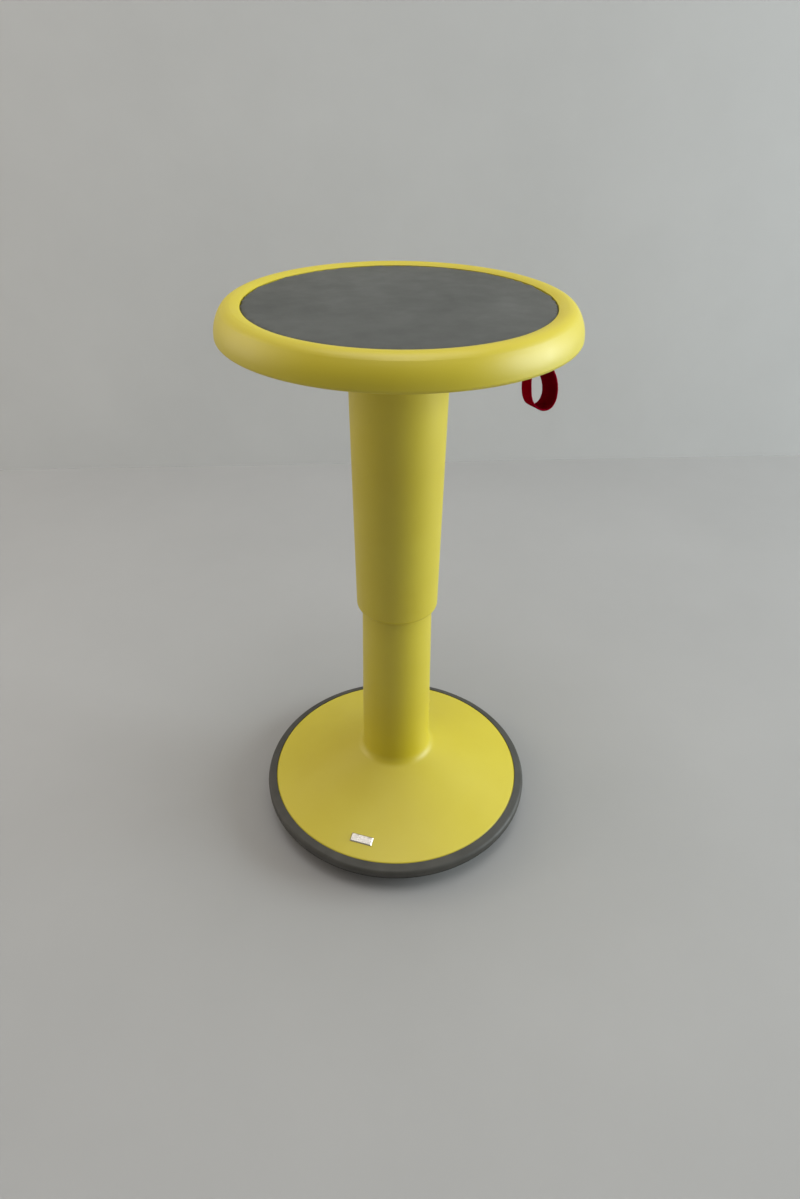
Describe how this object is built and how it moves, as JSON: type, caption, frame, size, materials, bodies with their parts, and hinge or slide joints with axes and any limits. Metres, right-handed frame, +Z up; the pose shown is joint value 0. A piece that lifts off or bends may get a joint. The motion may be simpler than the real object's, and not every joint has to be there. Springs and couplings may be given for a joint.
{
  "type": "wobble stool",
  "caption": "Round wobble stool on a rocking rubber sole, with a swivelling gas-lift seat, soft pad and a fabric pull strap that releases the lift.",
  "frame": {"origin": "on the floor, in the middle of the rubber sole, under the column", "axes": "+Z up through the seat; the pull strap hangs on the +X side, and the blank badge is on the cone towards -Y and -X"},
  "size_m": [0.332, 0.332, 0.63],
  "materials": {
    "yellow_plastic": "satin",
    "grey_pad": "matte, finely grained",
    "ring_rubber": "matte",
    "sole_rubber": "matte",
    "badge_metal": "satin, blank",
    "column_steel": "black powder coat",
    "rod_steel": "ground and hard-chromed",
    "cylinder_steel": "black paint",
    "zinc_steel": "zinc plated",
    "pressed_steel": "black powder coat",
    "bearing_steel": "hardened, ground",
    "bush_plastic": "natural white",
    "black_plastic": "fine texture",
    "inner_rubber": "matte",
    "ballast_iron": "as cast, painted",
    "crimson_webbing": "woven webbing"
  },
  "bodies": {
    "base": {"base_sole": "sole_rubber", "base_ring": "ring_rubber", "base_shell": "yellow_plastic", "badge_plate": "badge_metal", "base_hub": "pressed_steel", "column_tube": "column_steel", "guide_bush": "bush_plastic", "ballast_ring": "ballast_iron", "lower_race": "bearing_steel", "ball_cage": "bush_plastic", "thrust_balls": "bearing_steel", "sole_screws": "zinc_steel", "ballast_screws": "zinc_steel", "hub_screws": "zinc_steel"},
    "rod": {"piston_rod": "rod_steel", "piston_head": "zinc_steel", "piston_seal": "inner_rubber", "upper_race": "bearing_steel", "rod_buffer": "inner_rubber", "rod_clip": "bearing_steel"},
    "seat": {"gas_cylinder": "cylinder_steel", "cylinder_seal": "bush_plastic", "taper_hub": "pressed_steel", "seat_plate": "pressed_steel", "plate_screws": "zinc_steel", "seat_shell": "yellow_plastic", "seat_sleeve": "yellow_plastic", "cover_screws": "zinc_steel", "seat_pad": "grey_pad", "strap_guide": "black_plastic", "lever_pin": "zinc_steel"},
    "lever": {"release_lever": "pressed_steel", "pull_strap": "crimson_webbing"},
    "valve_pin": {"release_pin": "rod_steel"}
  },
  "joints": [
    {"name": "seat_swivel", "type": "hinge", "parent": "base", "child": "rod", "pos_m": [0, 0, 0], "axis": [0, 0, 1], "continuous": true},
    {"name": "seat_lift", "type": "slide", "parent": "rod", "child": "seat", "axis": [0, 0, 1], "range_m": [-0.18, 0]},
    {"name": "lever_press", "type": "hinge", "parent": "seat", "child": "lever", "pos_m": [-0.08, 0, 0.61145], "axis": [0, 1, 0], "range_deg": [0, 1.5], "stiffness_Nm_per_rad": 40, "springref_deg": -1.15},
    {"name": "pin_press", "type": "slide", "parent": "seat", "child": "valve_pin", "axis": [0, 0, -1], "range_m": [0, 0.0022]}
  ],
  "couplings": [
    {"joint": "pin_press", "follows": "lever_press", "m_per_rad": 0.08}
  ]
}
